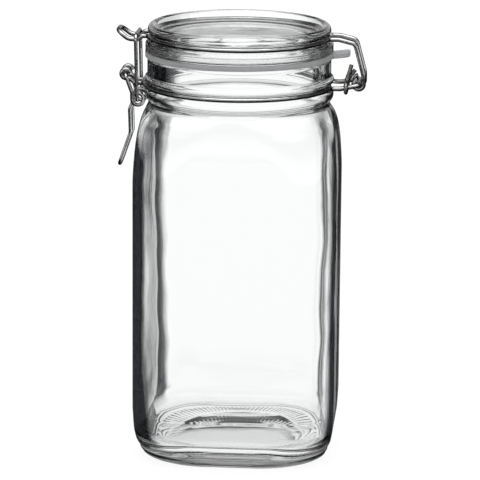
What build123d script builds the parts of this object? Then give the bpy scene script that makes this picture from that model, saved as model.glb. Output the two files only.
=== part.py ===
from build123d import *

import os
from math import cos, pi, radians, sin, sqrt

# Bail clamp jar: a square glass jar with a round neck, a glass lid on a rubber ring, and a wire clamp.
# Millimetres. Origin on the neck's axis at the resting plane, +Z up, hinge at +X, latch at -X.

# ---- jar body ----
body_half = 51.5          # half the width across the flats
body_corner = 27.5        # radius of the body's upright corners
wall = 3.3
heel_top = 25.0           # above this the walls are upright
foot_height = 3.2
floor_top = 7.5           # inside floor
floor_round = 9.0
push_up_radius = 36.0     # hollow under the base, where it meets the foot
push_up_depth = 1.8
shoulder_start = 141.0
neck_bottom = 179.4
neck_radius = 46.0
mouth_radius = 41.8
rim_top = 203.4

# ---- lid and rubber ring ----
seal_bottom = 203.6
seal_top = 206.0
seal_outer = 47.6
seal_inner = 41.0
tab_reach = 56.0          # how far the pull tab reaches from the axis
tab_width = 12.0
tab_rise = 1.0
lid_flange = 47.5
lid_plug = 40.8           # outer radius of the locating ring below the lid
lid_plug_bottom = 201.6
lid_top = 219.9

# ---- wires ----
lid_wire_radius = 1.2
neck_wire_radius = 1.2
tie_wire_radius = 1.05
lever_wire_radius = 1.0
link_wire_radius = 0.95
pin_gap = 0.1             # radial gap in a wire eye
ring_bend = 3.0           # middle-line radius where a strand leaves a ring

lid_ring_radius = 45.7    # middle line of the lid wire round the lid
lid_ring_z = 213.7
neck_ring_radius = 47.9   # middle line of the neck wire round the neck
neck_ring_z = 189.3

hinge_x = 60.7            # axis of the lid's hinge, along Y
hinge_z = 191.2
lever_x = -57.0           # axis of the lever in the neck wire's eyes, along Y
lever_z = 193.8
coil_x = -50.8            # axis of the lever's two coils, along Y
coil_z = 181.2
nose_x = -51.6            # where the link hooks over the nose
nose_z = 212.0
tip_x = -60.9             # end of the nose
tip_z = 216.2
link_z = 214.4            # axis of the link's crossbar on the nose
handle_x = -60.5          # end of the lever's handle
handle_z = 147.0

# distances of the wire strands from the middle plane
nose_y = 7.4
hinge_strand_y = 6.8
loop_y = 10.4
eye_strand_y = 5.0
pin_inner_y = 3.2
coil_outer_y = 7.7
coil_pitch = 2.1
coil_radius = 2.9
link_y = 10.6
hook_y = 9.0              # the link's hooks stop here, just short of the lever's coils

os.makedirs("parts", exist_ok=True)


def finish(piece, name):
    """Label a finished piece and write its STEP file."""
    piece.part.label = name
    export_step(piece.part, f"parts/{name}.step")


def leave_ring(ring, strand_y):
    """Where a strand leaves a ring: middle of the bend's arc, its end on the ring, its end on the strand."""
    centre_y = strand_y + ring_bend
    centre_x = sqrt((ring + ring_bend) ** 2 - centre_y ** 2)
    share = ring / (ring + ring_bend)
    on_ring = Vector(centre_x * share, centre_y * share)
    on_strand = Vector(centre_x, strand_y)
    centre = Vector(centre_x, centre_y)
    out = ((on_ring - centre) + (on_strand - centre)).normalized()
    return centre + out * ring_bend, on_ring, on_strand


def side(point, z, toward):
    """Point of a ring bend on the -Y half, at the hinge side (toward 1) or the latch side (-1)."""
    return (toward * point.X, -point.Y, z)


def round_eye(x, z, radius, degrees, y):
    """Point of an eye whose axis runs along Y; degrees count from +X towards +Z."""
    return (x + radius * cos(radians(degrees)), y, z + radius * sin(radians(degrees)))


# ---- jar body ----
foot_levels = [(0.0, 46.2, 33.0), (1.2, 47.2, 32.0), (foot_height, 47.5, 31.6)]
heel_levels = [(foot_height, 48.1, 31.0), (8.5, 49.9, 29.2), (14.5, 50.9, 28.0), (heel_top, body_half, body_corner)]
outer_shoulder = [(shoulder_start, body_half, body_corner), (155.0, 51.0, 29.5), (165.5, 50.1, 33.5),
                  (172.5, 48.8, 39.0), (neck_bottom, neck_radius, 45.2)]
inner_shoulder = [(shoulder_start, body_half - wall, body_corner - wall), (155.0, 47.7, 26.3),
                  (165.5, 46.6, 30.5), (172.5, 44.9, 36.0), (neck_bottom, 42.0, 41.4)]

with BuildPart() as cavity:
    with BuildSketch(Plane.XY.offset(floor_top)):
        RectangleRounded(2 * (body_half - wall), 2 * (body_half - wall), body_corner - wall)
    extrude(amount=shoulder_start - floor_top)
    fillet(cavity.faces().sort_by(Axis.Z)[0].edges(), floor_round)
    for level, half, corner in inner_shoulder:
        with BuildSketch(Plane.XY.offset(level)):
            RectangleRounded(2 * half, 2 * half, corner)
    loft()
    with BuildSketch(Plane.XY.offset(neck_bottom - 2)):
        Circle(mouth_radius)
    extrude(amount=rim_top - neck_bottom + 3)

with BuildPart() as jar_body:
    with BuildSketch(Plane.XY.offset(heel_top)):
        RectangleRounded(2 * body_half, 2 * body_half, body_corner)
    extrude(amount=shoulder_start - heel_top)
    for level, half, corner in foot_levels:
        with BuildSketch(Plane.XY.offset(level)):
            RectangleRounded(2 * half, 2 * half, corner)
    loft()
    for level, half, corner in heel_levels:
        with BuildSketch(Plane.XY.offset(level)):
            RectangleRounded(2 * half, 2 * half, corner)
    loft()
    for level, half, corner in outer_shoulder:
        with BuildSketch(Plane.XY.offset(level)):
            RectangleRounded(2 * half, 2 * half, corner)
    loft()
    # neck from the axis out: lower ring, wire groove, upper bead, plain finish and rounded rim
    with BuildSketch(Plane.XZ):
        with BuildLine():
            Polyline((0, neck_bottom), (neck_radius, neck_bottom), (46.1, 181.3))
            ThreePointArc((46.1, 181.3), (47.8, 184.7), (46.6, 187.9))
            Line((46.6, 187.9), (46.6, 190.6))
            ThreePointArc((46.6, 190.6), (48.0, 191.9), (47.1, 193.5))
            ThreePointArc((47.1, 193.5), (46.6, 194.4), (46.5, 195.4))
            Line((46.5, 195.4), (46.5, rim_top - 1.5))
            ThreePointArc((46.5, rim_top - 1.5), (46.06, rim_top - 0.44), (45.0, rim_top))
            Polyline((45.0, rim_top), (0, rim_top), (0, neck_bottom))
        make_face()
    revolve(axis=Axis.Z)
    add(cavity.part, mode=Mode.SUBTRACT)
    # hollow under the base
    dome_radius = (push_up_radius ** 2 + push_up_depth ** 2) / (2 * push_up_depth)
    with Locations((0, 0, push_up_depth - dome_radius)):
        Sphere(dome_radius, mode=Mode.SUBTRACT)
    inner_lip = jar_body.edges().filter_by(GeomType.CIRCLE).group_by(Axis.Z)[-1].sort_by(SortBy.RADIUS)[0]
    fillet(inner_lip, 0.8)
finish(jar_body, "jar_body")

# ---- lid: turned glass, with a locating ring below, a wire groove and a raised rim ----
groove = lid_wire_radius + 0.1
with BuildPart() as lid:
    with BuildSketch(Plane.XZ):
        with BuildLine():
            Polyline((0, 209.8), (35.6, 209.5))
            ThreePointArc((35.6, 209.5), (36.7, 209.0), (37.2, 207.9))
            Line((37.2, 207.9), (37.5, lid_plug_bottom + 1))
            ThreePointArc((37.5, lid_plug_bottom + 1), (39.0, lid_plug_bottom), (40.4, lid_plug_bottom + 1))
            Polyline((40.4, lid_plug_bottom + 1), (lid_plug, seal_top), (lid_flange - 0.8, seal_top))
            ThreePointArc((lid_flange - 0.8, seal_top), (lid_flange - 0.23, seal_top + 0.23),
                          (lid_flange, seal_top + 0.8))
            Line((lid_flange, seal_top + 0.8), (lid_flange, 209.9))
            ThreePointArc((lid_flange, 209.9), (47.2, 210.6), (46.5, 211.1))
            Line((46.5, 211.1), (lid_ring_radius, lid_ring_z - groove))
            ThreePointArc((lid_ring_radius, lid_ring_z - groove), (lid_ring_radius - groove, lid_ring_z),
                          (lid_ring_radius, lid_ring_z + groove))
            Line((lid_ring_radius, lid_ring_z + groove), (46.1, 215.9))
            ThreePointArc((46.1, 215.9), (45.9, 218.5), (44.4, lid_top))
            ThreePointArc((44.4, lid_top), (43.1, 219.6), (42.1, 218.8))
            Line((42.1, 218.8), (40.2, 216.3))
            ThreePointArc((40.2, 216.3), (38.9, 215.4), (37.4, 215.1))
            Polyline((37.4, 215.1), (0, 215.3), (0, 209.8))
        make_face()
    revolve(axis=Axis.Z)
finish(lid, "lid")

# ---- rubber ring with its pull tab towards the hinge ----
with BuildPart() as gasket:
    with BuildSketch(Plane.XY.offset(seal_bottom)):
        Circle(seal_outer)
        Circle(seal_inner, mode=Mode.SUBTRACT)
    extrude(amount=seal_top - seal_bottom)
    with BuildSketch(Plane.XZ.offset(-tab_width / 2)):
        with BuildLine():
            Polyline((45.0, seal_bottom + 0.1), (seal_outer, seal_bottom + 0.1),
                     (tab_reach, seal_bottom + 0.1 + tab_rise), (tab_reach, seal_top + tab_rise - 0.1),
                     (seal_outer, seal_top - 0.1), (45.0, seal_top - 0.1), (45.0, seal_bottom + 0.1))
        make_face()
    extrude(amount=tab_width)
    tab_end = gasket.faces().sort_by(Axis.X)[-1]
    fillet(tab_end.edges().filter_by(Axis.Z), 3.0)
finish(gasket, "gasket")

# ---- lid wire: hinge eye, leg, ring round the lid, nose ----
eye_radius = neck_wire_radius + pin_gap + lid_wire_radius
leg_x = hinge_x + eye_radius
hinge_bend = leave_ring(lid_ring_radius, hinge_strand_y)
nose_bend = leave_ring(lid_ring_radius, nose_y)
with BuildPart() as lid_wire:
    with BuildLine() as run:
        ThreePointArc(round_eye(hinge_x, hinge_z, eye_radius, -250, -hinge_strand_y),
                      round_eye(hinge_x, hinge_z, eye_radius, -125, -hinge_strand_y),
                      (leg_x, -hinge_strand_y, hinge_z))
        FilletPolyline((leg_x, -hinge_strand_y, hinge_z), (leg_x, -hinge_strand_y, 195.5),
                       (58.8, -hinge_strand_y, 211.7), (50.6, -hinge_strand_y, lid_ring_z),
                       side(hinge_bend[2], lid_ring_z, 1), radius=[10, 3.2, 6])
        ThreePointArc(side(hinge_bend[2], lid_ring_z, 1), side(hinge_bend[0], lid_ring_z, 1),
                      side(hinge_bend[1], lid_ring_z, 1))
        ThreePointArc(side(hinge_bend[1], lid_ring_z, 1), (0, -lid_ring_radius, lid_ring_z),
                      side(nose_bend[1], lid_ring_z, -1))
        ThreePointArc(side(nose_bend[1], lid_ring_z, -1), side(nose_bend[0], lid_ring_z, -1),
                      side(nose_bend[2], lid_ring_z, -1))
        FilletPolyline(side(nose_bend[2], lid_ring_z, -1), (-48.6, -nose_y, lid_ring_z),
                       (-50.6, -nose_y, nose_z), (-55.6, -nose_y, nose_z),
                       (tip_x, -nose_y, tip_z), (tip_x, 0, tip_z), radius=[1.4, 1.4, 5, 4.2])
    with BuildSketch(Plane(origin=run.line @ 0, z_dir=run.line % 0)):
        Circle(lid_wire_radius)
    sweep()
    mirror(about=Plane.XZ)
finish(lid_wire, "lid_wire")

# ---- neck wire: latch eye, ring round the neck, hinge loop ----
lever_eye = lever_wire_radius + pin_gap + neck_wire_radius
latch_bend = leave_ring(neck_ring_radius, eye_strand_y)
loop_bend = leave_ring(neck_ring_radius, loop_y)
with BuildPart() as neck_wire:
    with BuildLine() as run:
        ThreePointArc(round_eye(lever_x, lever_z, lever_eye, 10, -eye_strand_y),
                      round_eye(lever_x, lever_z, lever_eye, 140, -eye_strand_y),
                      (lever_x, -eye_strand_y, lever_z - lever_eye))
        FilletPolyline((lever_x, -eye_strand_y, lever_z - lever_eye),
                       (-55.0, -eye_strand_y, lever_z - lever_eye), (-52.6, -eye_strand_y, neck_ring_z),
                       side(latch_bend[2], neck_ring_z, -1), radius=[2, 2])
        ThreePointArc(side(latch_bend[2], neck_ring_z, -1), side(latch_bend[0], neck_ring_z, -1),
                      side(latch_bend[1], neck_ring_z, -1))
        ThreePointArc(side(latch_bend[1], neck_ring_z, -1), (0, -neck_ring_radius, neck_ring_z),
                      side(loop_bend[1], neck_ring_z, 1))
        ThreePointArc(side(loop_bend[1], neck_ring_z, 1), side(loop_bend[0], neck_ring_z, 1),
                      side(loop_bend[2], neck_ring_z, 1))
        FilletPolyline(side(loop_bend[2], neck_ring_z, 1), (51.6, -loop_y, neck_ring_z),
                       (hinge_x, -loop_y, hinge_z), (hinge_x, 0, hinge_z), radius=[6, 2.4])
    with BuildSketch(Plane(origin=run.line @ 0, z_dir=run.line % 0)):
        Circle(neck_wire_radius)
    sweep()
    mirror(about=Plane.XZ)
finish(neck_wire, "neck_wire")

# ---- tie wire: once round both strands of the hinge loop, both ends turned up ----
tie_x = 54.5
tie_z = neck_ring_z + (hinge_z - neck_ring_z) * (tie_x - 51.6) / (hinge_x - 51.6)
tie_wrap = neck_wire_radius + pin_gap + tie_wire_radius
with BuildPart() as tie_wire:
    with BuildLine() as run:
        FilletPolyline((58.8, -3.4, 198.0), (57.0, -3.6, 195.6), (tie_x, -3.6, tie_z + tie_wrap),
                       (tie_x, loop_y, tie_z + tie_wrap), radius=[3, 1.6])
        ThreePointArc((tie_x, loop_y, tie_z + tie_wrap), (tie_x, loop_y + tie_wrap, tie_z),
                      (tie_x, loop_y, tie_z - tie_wrap))
        Line((tie_x, loop_y, tie_z - tie_wrap), (tie_x, -loop_y, tie_z - tie_wrap))
        ThreePointArc((tie_x, -loop_y, tie_z - tie_wrap), (tie_x, -loop_y - tie_wrap, tie_z),
                      (tie_x, -loop_y, tie_z + tie_wrap))
        FilletPolyline((tie_x, -loop_y, tie_z + tie_wrap), (tie_x, -6.2, tie_z + tie_wrap),
                       (56.0, -6.2, 197.2), (57.0, -6.0, 201.0), radius=[1.6, 3])
    with BuildSketch(Plane(origin=run.line @ 0, z_dir=run.line % 0)):
        Circle(tie_wire_radius)
    sweep()
finish(tie_wire, "tie_wire")

# ---- latch lever: pin, leg, coil, handle ----
coil_left = coil_x - coil_radius
slope = coil_pitch / (2 * pi * coil_radius)   # sideways run of the coil for each millimetre along it
coil_inner_y = coil_outer_y - coil_pitch
leg_y = coil_outer_y + 3.5 * slope
grip_y = coil_inner_y - 2.2 * slope
with BuildPart() as latch_lever:
    with BuildLine() as run:
        FilletPolyline((lever_x, -pin_inner_y, lever_z), (lever_x, -leg_y, lever_z),
                       (coil_left, -leg_y, coil_z + 3.5), (coil_left, -coil_outer_y, coil_z),
                       radius=[1.6, 3])
        coil = Helix(pitch=coil_pitch, height=coil_pitch, radius=coil_radius, lefthand=True,
                     center=(coil_x, -coil_outer_y, coil_z), direction=(0, 1, 0), mode=Mode.PRIVATE)
        add(coil.rotate(Axis((coil_x, 0, coil_z), (0, 1, 0)), -90))
        FilletPolyline((coil_left, -coil_inner_y, coil_z), (coil_left, -grip_y, coil_z - 2.2),
                       (-55.1, -grip_y, 176.0), (-54.7, -grip_y, 163.6), (handle_x, -grip_y, handle_z),
                       (handle_x, 0, handle_z), radius=[3, 4, 6, 3])
    with BuildSketch(Plane(origin=run.line @ 0, z_dir=run.line % 0)):
        Circle(lever_wire_radius)
    sweep()
    mirror(about=Plane.XZ)
finish(latch_lever, "latch_lever")

# ---- latch link: hook at the coil, leg, crossbar over the nose ----
with BuildPart() as latch_link:
    with BuildLine() as run:
        FilletPolyline((coil_x, -hook_y, coil_z), (coil_x, -link_y, coil_z), (nose_x, -link_y, link_z),
                       (nose_x, 0, link_z), radius=[1.3, 2.6])
    with BuildSketch(Plane(origin=run.line @ 0, z_dir=run.line % 0)):
        Circle(link_wire_radius)
    sweep()
    mirror(about=Plane.XZ)
finish(latch_link, "latch_link")
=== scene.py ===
from math import atan2, cos, hypot, pi, radians, sin, sqrt, tan

import bmesh
import bpy
from mathutils import Matrix, Vector


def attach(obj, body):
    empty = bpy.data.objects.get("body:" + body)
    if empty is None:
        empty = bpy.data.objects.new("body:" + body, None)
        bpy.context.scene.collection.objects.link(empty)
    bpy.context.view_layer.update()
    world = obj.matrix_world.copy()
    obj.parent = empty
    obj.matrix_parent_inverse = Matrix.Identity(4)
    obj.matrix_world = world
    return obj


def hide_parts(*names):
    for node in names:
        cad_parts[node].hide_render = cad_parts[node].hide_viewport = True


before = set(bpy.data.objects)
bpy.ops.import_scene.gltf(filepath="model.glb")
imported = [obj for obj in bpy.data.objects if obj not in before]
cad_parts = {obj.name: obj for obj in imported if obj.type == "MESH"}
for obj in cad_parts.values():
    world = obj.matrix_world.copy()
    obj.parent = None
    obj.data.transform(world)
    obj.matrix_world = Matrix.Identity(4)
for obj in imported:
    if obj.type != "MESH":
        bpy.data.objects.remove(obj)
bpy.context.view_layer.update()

scene = bpy.context.scene

# Bail clamp jar: turned glass for the jar and its lid, and materials on the CAD's rubber ring and wires.
# Outlines are in millimetres, with Z up and the origin on the jar's axis at the resting plane.
MM = 0.001


# ---------------------------------------------------------------- material nodes
class Graph:
    """Short ways to add nodes to a node tree."""

    def __init__(self, tree):
        self.nodes = tree.nodes
        self.links = tree.links

    def join(self, value, socket):
        """Set a socket to a number, or link an output to it."""
        if isinstance(value, (int, float)):
            socket.default_value = value
        else:
            self.links.new(value, socket)

    def coordinates(self, kind):
        return self.nodes.new("ShaderNodeTexCoord").outputs[kind]

    def parts(self, vector):
        """The X, Y and Z of a vector, by name."""
        split = self.nodes.new("ShaderNodeSeparateXYZ")
        self.links.new(vector, split.inputs["Vector"])
        return split.outputs

    def calc(self, kind, *values, clamp=False):
        node = self.nodes.new("ShaderNodeMath")
        node.operation = kind
        node.use_clamp = clamp
        for value, socket in zip(values, node.inputs):
            self.join(value, socket)
        return node.outputs["Value"]

    def facing(self):
        """0 where a surface faces the eye, 1 where it is seen edge on."""
        weight = self.nodes.new("ShaderNodeLayerWeight")
        weight.inputs["Blend"].default_value = 0.5
        return weight.outputs["Facing"]

    def noise(self, scale, detail=2.0, stretch=(1, 1, 1), rough=0.5):
        mapping = self.nodes.new("ShaderNodeMapping")
        mapping.inputs["Scale"].default_value = stretch
        self.links.new(self.coordinates("Object"), mapping.inputs["Vector"])
        texture = self.nodes.new("ShaderNodeTexNoise")
        texture.inputs["Scale"].default_value = scale
        texture.inputs["Detail"].default_value = detail
        texture.inputs["Roughness"].default_value = rough
        self.links.new(mapping.outputs["Vector"], texture.inputs["Vector"])
        return texture.outputs["Fac"]

    def ramp(self, source, stops):
        """Colour ramp through (place, colour) stops; a number stands for a grey."""
        node = self.nodes.new("ShaderNodeValToRGB")
        elements = node.color_ramp.elements
        for _ in stops[2:]:
            elements.new(0.5)
        for element, (place, colour) in zip(elements, stops):
            element.position = place
            element.color = (colour,) * 3 + (1,) if isinstance(colour, (int, float)) else (*colour, 1)
        self.links.new(source, node.inputs["Fac"])
        return node.outputs["Color"]

    def bump(self, height, strength, distance, before=None):
        node = self.nodes.new("ShaderNodeBump")
        node.inputs["Strength"].default_value = strength
        node.inputs["Distance"].default_value = distance
        self.links.new(height, node.inputs["Height"])
        if before is not None:
            self.links.new(before, node.inputs["Normal"])
        return node.outputs["Normal"]


def new_material(name):
    """A material, its graph and its Principled sockets."""
    material = bpy.data.materials.new(name)
    material.use_nodes = True
    return material, Graph(material.node_tree), material.node_tree.nodes["Principled BSDF"].inputs


# ---------------------------------------------------------------- materials
clear_glass = (0.975, 0.985, 0.98, 1)
# painted shade: the near-black colour the glass is mixed towards at its glancing edges
painted_shade_colour = (0.0008, 0.0009, 0.0012, 1)
painted_shade_towards_latch = 2.0       # how much sooner the painted shade sets in per metre towards -X, the side with less light


def glass(name, wave, seeds, upright_painted_shade, level_painted_shade, foot_painted_shade, flat_wall_painted_shade):
    """Clear glass with painted shade in streaks where it is seen edge on, at its glancing edges.

    wave and seeds are the strengths of the slow and fine unevenness. The other four say how dark the painted
    shade goes:
    on upright faces, on level faces, on upright faces of the lowest few millimetres, and what share of
    that the flat walls keep.
    """
    material, graph, surface = new_material(name)
    normal = graph.parts(graph.nodes.new("ShaderNodeNewGeometry").outputs["True Normal"])
    place = graph.parts(graph.coordinates("Object"))
    upright = graph.ramp(graph.calc("ABSOLUTE", normal["Z"]), [(0.25, 1), (0.75, 0)])

    # painted shade: sets in where the glass is seen edge on, uneven in upright streaks
    streaks = graph.calc("SUBTRACT", graph.noise(60.0, detail=4.0, stretch=(1, 1, 0.16), rough=0.6), 0.5)
    glancing = graph.calc("ADD", graph.facing(), graph.calc("MULTIPLY", streaks, 0.4))
    # the painted shade sets in sooner towards -X, the side with less light
    glancing = graph.calc("SUBTRACT", glancing, graph.calc("MULTIPLY", place["X"], painted_shade_towards_latch))
    painted_edge_shade_mask = graph.ramp(glancing, [(0.36, 0), (0.42, 0.6), (0.49, 0.97), (0.55, 1)])
    # painted shade goes darkest on upright faces and less far on level ones, such as the lid's top
    reach = graph.calc("MULTIPLY", upright, upright_painted_shade - level_painted_shade)
    reach = graph.calc("ADD", reach, level_painted_shade)
    painted_shade_amount = graph.calc("MULTIPLY", painted_edge_shade_mask, reach, clamp=True)

    # painted shade at the foot: darker towards the bottom on the upright faces of the lowest centimetre
    centimetres = graph.calc("MULTIPLY", place["Z"], 100.0)
    low = graph.ramp(centimetres, [(0.0, foot_painted_shade), (0.33, foot_painted_shade), (0.6, foot_painted_shade * 0.35), (1.0, 0)])
    painted_shade_amount = graph.calc("MAXIMUM", painted_shade_amount, graph.calc("MULTIPLY", low, upright))

    # flat walls keep only part of the painted shade; the rounded corners keep all of it
    squareness = graph.calc("MAXIMUM", graph.calc("ABSOLUTE", normal["X"]),
                            graph.calc("ABSOLUTE", normal["Y"]))
    curved = graph.ramp(squareness, [(0.985, 1), (0.998, flat_wall_painted_shade)])
    painted_shade_amount = graph.calc("MULTIPLY", painted_shade_amount, curved)

    # mix the clear glass colour towards the painted shade colour
    painted_shade_mix = graph.nodes.new("ShaderNodeMix")
    painted_shade_mix.data_type = "RGBA"
    painted_shade_mix.inputs["A"].default_value = clear_glass
    painted_shade_mix.inputs["B"].default_value = painted_shade_colour
    graph.join(painted_shade_amount, painted_shade_mix.inputs["Factor"])
    graph.join(painted_shade_mix.outputs["Result"], surface["Base Color"])
    surface["Roughness"].default_value = 0.0
    surface["IOR"].default_value = 1.5
    surface["Transmission Weight"].default_value = 1.0
    surface["Specular IOR Level"].default_value = 0.2
    slow = graph.bump(graph.noise(22.0, detail=1.0, stretch=(1, 1, 0.35)), strength=wave, distance=0.002)
    fine = graph.bump(graph.noise(90.0, detail=1.0), strength=seeds, distance=0.0004, before=slow)
    graph.join(fine, surface["Normal"])
    return material


def wire(name, painted_highlight, painted_side_shade, rough):
    """Drawn steel wire: a painted highlight where it faces the eye, painted shade at its sides, with random
    patches in it, and fine scratches.
    """
    material, graph, surface = new_material(name)
    patches = graph.calc("SUBTRACT", graph.noise(160.0, detail=3.0), 0.5)
    # painted highlight facing the eye, painted shade at the sides, its edge moved about by random patches
    painted_shade_and_patches = graph.calc("ADD", graph.facing(), graph.calc("MULTIPLY", patches, 0.3))
    deepest_painted_shade = tuple(part * 0.2 for part in painted_side_shade)
    colour = graph.ramp(painted_shade_and_patches, [(0.0, painted_highlight), (0.13, painted_highlight), (0.3, painted_side_shade), (0.6, deepest_painted_shade)])
    graph.join(colour, surface["Base Color"])
    surface["Metallic"].default_value = 1.0
    gloss = graph.ramp(graph.noise(420.0), [(0.3, rough * 0.7), (0.7, rough * 1.4)])
    graph.join(gloss, surface["Roughness"])
    scratches = graph.noise(900.0, detail=3.0)
    graph.join(graph.bump(scratches, strength=0.25, distance=0.00006), surface["Normal"])
    return material


def rubber(name):
    """Translucent grey sealing rubber."""
    material, graph, surface = new_material(name)
    clouds = graph.noise(60.0, detail=3.0)
    colour = graph.ramp(clouds, [(0.3, (0.50, 0.51, 0.52)), (0.7, (0.64, 0.65, 0.66))])
    graph.join(colour, surface["Base Color"])
    graph.join(graph.ramp(graph.noise(300.0), [(0.3, 0.35), (0.7, 0.55)]), surface["Roughness"])
    surface["IOR"].default_value = 1.42
    surface["Transmission Weight"].default_value = 0.55
    graph.join(graph.bump(graph.noise(700.0), strength=0.3, distance=0.0001), surface["Normal"])
    return material


# ---------------------------------------------------------------- outlines
end_steepness = 1.1       # how much steeper a smoothed outline leaves its last row than it reached it


def arc(a, b, c, count):
    """Points of the arc through three (r, z) points, without its first one."""
    ax, ay, bx, by, cx, cy = *a, *b, *c
    d = 2 * (ax * (by - cy) + bx * (cy - ay) + cx * (ay - by))
    a_square, b_square, c_square = ax * ax + ay * ay, bx * bx + by * by, cx * cx + cy * cy
    centre_x = (a_square * (by - cy) + b_square * (cy - ay) + c_square * (ay - by)) / d
    centre_y = (a_square * (cx - bx) + b_square * (ax - cx) + c_square * (bx - ax)) / d
    start, middle, end = (atan2(p[1] - centre_y, p[0] - centre_x) for p in (a, b, c))
    turn = (end - start) % (2 * pi)
    if (middle - start) % (2 * pi) > turn:
        turn -= 2 * pi
    radius = hypot(ax - centre_x, ay - centre_y)
    angles = [start + turn * i / count for i in range(1, count + 1)]
    return [(centre_x + radius * cos(angle), centre_y + radius * sin(angle)) for angle in angles]


def circles(points):
    """Rows of a round form from its (r, z) points."""
    return [(z, r, r) for r, z in points]


def slopes(rows, k):
    """Slopes of column k at each row, such that a cubic through them never turns back."""
    steps = [b[0] - a[0] for a, b in zip(rows, rows[1:])]
    rises = [(b[k] - a[k]) / step for a, b, step in zip(rows, rows[1:], steps)]
    out = [0.0] * len(rows)
    for i in range(1, len(rows) - 1):
        if rises[i - 1] * rises[i] > 0:
            before = 2 * steps[i] + steps[i - 1]
            after = steps[i] + 2 * steps[i - 1]
            out[i] = (before + after) / (before / rises[i - 1] + after / rises[i])
    out[-1] = rises[-1] * end_steepness
    return out


def smooth_between(rows, spacing):
    """Smooth cubic through rows of (z, half, corner), with a row about every spacing."""
    half_slopes, corner_slopes = slopes(rows, 1), slopes(rows, 2)
    out = []
    for i, (low, high) in enumerate(zip(rows, rows[1:])):
        h = high[0] - low[0]
        count = max(2, int(h / spacing))
        last = i == len(rows) - 2
        for j in range(count + last):
            t = j / count
            from_low, from_high = 2 * t ** 3 - 3 * t * t + 1, -2 * t ** 3 + 3 * t * t
            low_slope, high_slope = h * (t ** 3 - 2 * t * t + t), h * (t ** 3 - t * t)
            half = from_low * low[1] + from_high * high[1] \
                + low_slope * half_slopes[i] + high_slope * half_slopes[i + 1]
            corner = from_low * low[2] + from_high * high[2] \
                + low_slope * corner_slopes[i] + high_slope * corner_slopes[i + 1]
            out.append((low[0] + t * h, half, corner))
    return out


# ---------------------------------------------------------------- skins
uneven_bottom, uneven_top, uneven_fade = 16.0, 172.0, 20.0
corner_extra = 0.4        # how much thicker the wall is inside its upright corners
groove_rise = 0.35        # how far the grooves between the foot's ribs rise above the resting plane
least_flat = 1e-6         # the flat that is left on a row that is all but round


def square_radius(half, corner, angle):
    """Distance from the axis to a rounded square's edge at an angle."""
    flat = half - corner
    off_flat = abs((angle + pi / 4) % (pi / 2) - pi / 4)
    if half * tan(off_flat) <= flat:
        return half / cos(off_flat)
    along = flat * (cos(off_flat) + sin(off_flat))
    return along + sqrt(max(0.0, along * along - 2 * flat * flat + corner * corner))


def thickening(angle, z):
    """How much further in the inside wall lies at its corners, uneven as pressed glass is."""
    if not uneven_bottom < z < uneven_top:
        return 0.0
    fade = min(1.0, (z - uneven_bottom) / uneven_fade, (uneven_top - z) / uneven_fade)
    waves = 0.28 * sin(z / 24 + 3 * angle)
    waves += 0.1 * sin(z / 8.5 - 5 * angle + 1)
    waves += 0.05 * sin(z / 4.1 + 9 * angle)
    return sin(2 * angle) ** 2 * (corner_extra + fade * waves)


def lathe(name, rows, steps, ribbed=(), inside_from=None):
    """Closed skin from rows of (z, half, corner), first and last row closed to a point on the axis.

    ribbed holds the rows with grooves, two points in four. The wall is uneven from row inside_from on.
    """
    bm = bmesh.new()
    first = bm.verts.new((0, 0, rows[0][0] * MM))
    rings = []
    for row, (z, half, corner) in enumerate(rows[1:-1], 1):
        ring = []
        for i in range(steps):
            angle = 2 * pi * i / steps
            r = square_radius(half, min(corner, half - least_flat), angle)
            if inside_from is not None and row >= inside_from:
                r -= thickening(angle, z)
            rise = groove_rise if row in ribbed and i % 4 in (1, 2) else 0.0
            ring.append(bm.verts.new((r * cos(angle) * MM, r * sin(angle) * MM, (z + rise) * MM)))
        rings.append(ring)
    last = bm.verts.new((0, 0, rows[-1][0] * MM))
    for i in range(steps):
        j = (i + 1) % steps
        bm.faces.new((first, rings[0][j], rings[0][i]))
        for low, high in zip(rings, rings[1:]):
            bm.faces.new((low[i], low[j], high[j], high[i]))
        bm.faces.new((last, rings[-1][i], rings[-1][j]))
    bmesh.ops.recalc_face_normals(bm, faces=bm.faces)
    mesh = bpy.data.meshes.new(name)
    bm.to_mesh(mesh)
    bm.free()
    for polygon in mesh.polygons:
        polygon.use_smooth = True
    skin = bpy.data.objects.new(name, mesh)
    scene.collection.objects.link(skin)
    return skin


# ---------------------------------------------------------------- jar body
# from the middle of the base out, up the outside to the rim, then down the inside to the middle of the floor
body_half, body_corner, wall = 51.5, 27.5, 3.3
hollow_radius, hollow_depth = 36.0, 1.8
heel_top, shoulder_start = 25.0, 141.0
floor_top, floor_round = 7.5, 9.0
inner_half, inner_corner = body_half - wall, body_corner - wall
mouth, rim_top = 41.8, 203.4
collar, bead_foot, neck = 46.1, 46.6, 46.5

dome_radius = (hollow_radius ** 2 + hollow_depth ** 2) / (2 * hollow_depth)
hollow = [(hollow_depth - dome_radius + sqrt(dome_radius ** 2 - r * r), r, r) for r in
          [i * hollow_radius / 14 for i in range(15)]]
foot = [(0.0, 36.8, 36.2), (0.0, 37.6, 36.4), (0.0, 39.2, 36.4), (0.0, 40.8, 36.3), (0.0, 42.2, 36.2),
        (0.0, 43.6, 35.4), (0.0, 45.2, 34.2), (0.12, 45.95, 33.2), (0.45, 46.5, 32.7), (1.2, 47.2, 32.0),
        (2.2, 47.42, 31.75), (3.0, 47.52, 31.6), (3.2, 47.8, 31.3)]
heel = smooth_between([(3.35, 48.15, 31.0), (8.5, 49.9, 29.2), (14.5, 50.9, 28.0),
                       (heel_top, body_half, body_corner)], spacing=0.9)
sides = [(heel_top + i * (shoulder_start - heel_top) / 24, body_half, body_corner) for i in range(1, 24)]
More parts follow.
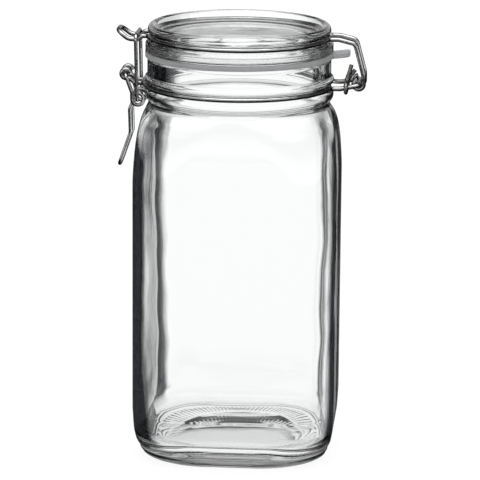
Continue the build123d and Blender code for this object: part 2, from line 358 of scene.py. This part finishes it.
shoulder = smooth_between([(shoulder_start, body_half, body_corner), (155.0, 51.0, 29.5), (165.5, 50.1, 33.5),
                           (172.5, 48.8, 39.0), (179.4, 46.0, 45.2)], spacing=1.2)

neck_points = [(46.05, 180.4), (collar, 181.3)]
neck_points += arc((collar, 181.3), (47.8, 184.7), (bead_foot, 187.9), 12)
neck_points += [(bead_foot, 188.8), (bead_foot, 189.8), (bead_foot, 190.6)]
neck_points += arc((bead_foot, 190.6), (48.0, 191.9), (47.1, 193.5), 9)
neck_points += arc((47.1, 193.5), (46.6, 194.4), (neck, 195.4), 4)
neck_points += [(neck, 197.4), (neck, 199.6), (neck, 201.3), (neck, 201.9)]
neck_points += arc((neck, 201.9), (46.06, 202.96), (45.0, rim_top), 6)
neck_points += [(44.2, rim_top), (43.4, rim_top)]
neck_points += arc((42.6, rim_top), (42.04, 203.16), (mouth, 202.6), 5)
neck_points += [(mouth, 200.5), (mouth, 195.0), (mouth, 189.0), (mouth, 183.0), (41.85, 180.5)]

inner_shoulder = smooth_between([(shoulder_start, inner_half, inner_corner), (155.0, 47.7, 26.3),
                                 (165.5, 46.6, 30.5), (172.5, 44.9, 36.0), (179.4, 42.0, 41.4)],
                                spacing=1.2)[::-1]
round_start = floor_top + floor_round
inner_sides = [(shoulder_start - i * (shoulder_start - round_start) / 26, inner_half, inner_corner)
               for i in range(1, 26)]
inner_heel = []
for quarter in [pi / 2 * i / 12 for i in range(13)]:
    half = inner_half - floor_round * (1 - cos(quarter))
    inner_heel.append((round_start - floor_round * sin(quarter), half, half - (body_half - body_corner)))
floor_shapes = [(37.5, 15.5), (34.5, 18.0), (30.0, 22.0), (20.0, 19.0), (10.0, 9.9), (3.0, 3.0), (0.0, 0.0)]
floor_rows = [(floor_top, half, corner) for half, corner in floor_shapes]

outside = hollow + foot + heel + sides + shoulder + circles(neck_points)
ribbed = [row for row, (z, half, corner) in enumerate(outside) if z == 0.0 and 39.0 < half < 44.0]
jar_rows = outside + inner_shoulder + inner_sides + inner_heel + floor_rows
jar = lathe("jar_glass_body", jar_rows, steps=480, ribbed=ribbed, inside_from=len(outside))
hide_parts("jar_body")
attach(jar, "jar")
jar.data.materials.append(glass("jar_glass", wave=0.22, seeds=0.07, upright_painted_shade=1.0, level_painted_shade=0.0,
                                foot_painted_shade=0.8, flat_wall_painted_shade=0.3))

# ---------------------------------------------------------------- lid
# from the middle of its underside out, up the side, over the rim and back to the middle
flange, flange_bottom, flange_ribs = 47.5, 206.8, 3
rib_depth, rib_points, rib_pitch = 0.16, 8, 3.1 / 3
groove_x, groove_z, groove = 45.7, 213.7, 1.3

lid_points = [(0, 209.8), (12, 209.7), (24, 209.6), (32, 209.53), (35.6, 209.5)]
lid_points += arc((35.6, 209.5), (36.7, 209.0), (37.2, 207.9), 6)
lid_points += [(37.25, 206.8), (37.3, 205.0), (37.4, 203.6), (37.5, 202.6)]
lid_points += arc((37.5, 202.6), (39.0, 201.6), (40.4, 202.6), 10)
lid_points += [(40.55, 203.8), (40.7, 205.1), (40.8, 205.98), (41.2, 206.0), (44.0, 206.0), (46.7, 206.0)]
lid_points += arc((46.7, 206.0), (47.27, 206.23), (flange, flange_bottom), 5)
for k in range(1, flange_ribs * rib_points + 1):
    dip = rib_depth * (1 - cos(2 * pi * k / rib_points)) / 2
    lid_points.append((flange - dip, flange_bottom + k * rib_pitch / rib_points))
lid_points += arc((flange, 209.9), (47.2, 210.6), (46.5, 211.1), 5)
lid_points += [(46.1, 211.75), (groove_x, groove_z - groove)]
lid_points += arc((groove_x, groove_z - groove), (groove_x - groove, groove_z),
                  (groove_x, groove_z + groove), 12)
lid_points += [(45.9, 215.5), (46.1, 215.9)]
lid_points += arc((46.1, 215.9), (45.9, 218.5), (44.4, 219.9), 10)
lid_points += arc((44.4, 219.9), (43.1, 219.6), (42.1, 218.8), 8)
lid_points += [(41.15, 217.55), (40.2, 216.3)]
lid_points += arc((40.2, 216.3), (38.9, 215.4), (37.4, 215.1), 8)
lid_points += [(33, 215.12), (24, 215.17), (12, 215.23), (0, 215.3)]
cover = lathe("lid_glass", circles(lid_points), steps=288)
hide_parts("lid")
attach(cover, "lid")
cover.data.materials.append(glass("lid_glass", wave=0.14, seeds=0.05, upright_painted_shade=0.9, level_painted_shade=0.3,
                                  foot_painted_shade=0.0, flat_wall_painted_shade=1.0))

# ---------------------------------------------------------------- rubber ring and wires: the CAD's own shapes
# painted highlight and painted shade colours of the wires, with their own pairs given for the neck and tie
# wires
painted_highlight_grey, painted_shade_grey = (0.85, 0.85, 0.86), (0.12, 0.12, 0.125)
finishes = {"gasket": rubber("seal_rubber"),
            "lid_wire": wire("lid_wire_steel", painted_highlight_grey, painted_shade_grey, 0.2),
            "neck_wire": wire("neck_wire_steel", (0.8, 0.8, 0.81), (0.11, 0.11, 0.115), 0.22),
            "tie_wire": wire("tie_steel", (0.5, 0.51, 0.48), (0.1, 0.11, 0.095), 0.38),
            "latch_lever": wire("lever_steel", painted_highlight_grey, painted_shade_grey, 0.2),
            "latch_link": wire("link_steel", painted_highlight_grey, painted_shade_grey, 0.2)}
for name, finish in finishes.items():
    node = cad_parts[name]
    for slot in node.material_slots:
        slot.material = finish
    if not node.material_slots:
        node.data.materials.append(finish)

# ---------------------------------------------------------------- floor
bpy.ops.mesh.primitive_plane_add(size=14, location=(0, 0, 0))
floor = bpy.context.object
floor.name = "floor"
pale, graph, surface = new_material("pale_floor")
surface["Base Color"].default_value = (0.12, 0.12, 0.12, 1)
surface["Emission Color"].default_value = (1, 1, 1, 1)
surface["Emission Strength"].default_value = 0.9
surface["Roughness"].default_value = 0.7
surface["Specular IOR Level"].default_value = 0.1
floor.data.materials.append(pale)
floor.visible_glossy = False

# ---------------------------------------------------------------- studio light
# dark below the horizon, a pale band at it, dim above that, and a broad soft light overhead
world = bpy.data.worlds.new("studio")
scene.world = world
world.use_nodes = True
graph = Graph(world.node_tree)
background = graph.nodes["Background"].inputs
background["Strength"].default_value = 1.0
height = graph.calc("MULTIPLY_ADD", graph.parts(graph.coordinates("Generated"))["Z"], 0.5, 0.5)
sky = graph.ramp(height, [(0.0, 0.03), (0.49, 0.03), (0.5, 0.9), (0.61, 0.7), (0.68, 0.15), (0.80, 0.15),
                          (0.87, 1.6), (1.0, 2.2)])
graph.join(sky, background["Color"])

# ---------------------------------------------------------------- camera
azimuth, pitch, roll = radians(4.5), radians(13.3), radians(0.44)
away, lift, sideways = 1573.4, 479.6, 1.0
camera = bpy.data.cameras.new("camera")
camera.sensor_width = 36
camera.lens = 236.775
camera.clip_start = 0.05
camera.clip_end = 50
eye = bpy.data.objects.new("camera", camera)
scene.collection.objects.link(eye)
stand = Vector((sideways * cos(azimuth) + away * sin(azimuth),
                sideways * sin(azimuth) - away * cos(azimuth), lift))
aim = Matrix.Rotation(azimuth, 4, "Z") @ Matrix.Rotation(pi / 2 - pitch, 4, "X")
eye.matrix_world = Matrix.Translation(stand * MM) @ aim @ Matrix.Rotation(roll, 4, "Z")
scene.camera = eye
scene.view_settings.view_transform = "Standard"
